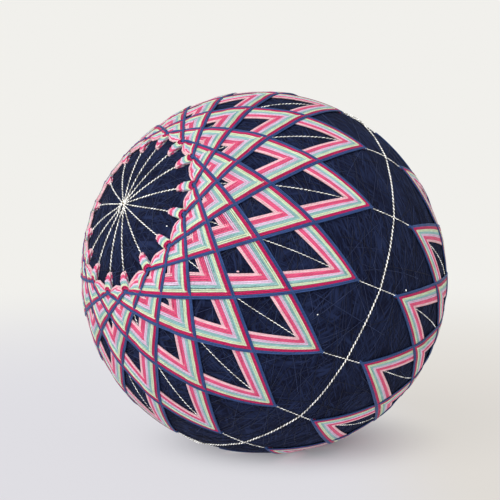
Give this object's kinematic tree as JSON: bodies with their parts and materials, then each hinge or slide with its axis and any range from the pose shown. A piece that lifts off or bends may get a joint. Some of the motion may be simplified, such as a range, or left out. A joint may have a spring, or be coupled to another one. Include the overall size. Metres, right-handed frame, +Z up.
{
  "type": "temari ball",
  "caption": "Thread-wound decorative ball with an interlaced petal star stitched round each pole, and a small flat spot where it rests.",
  "frame": {"origin": "centre of the bounding box's underside, on the floor under the middle of the ball", "axes": "+Z up from the floor, -Y towards the side where the north pole and its star show, +X to that viewer's right"},
  "size_m": [0.093, 0.0925, 0.0909],
  "materials": {
    "navy_winding": "matte wound sewing thread",
    "north_floss": "soft sheen cotton floss in seven colours",
    "south_floss": "soft sheen cotton floss in seven colours",
    "metallic_thread": "pale gold metallic thread"
  },
  "bodies": {
    "root": {"wound_ball": "navy_winding", "north_motif": "north_floss", "south_motif": "south_floss", "equator_threads": "metallic_thread", "north_pole_threads": "metallic_thread", "south_pole_threads": "metallic_thread"}
  },
  "joints": []
}
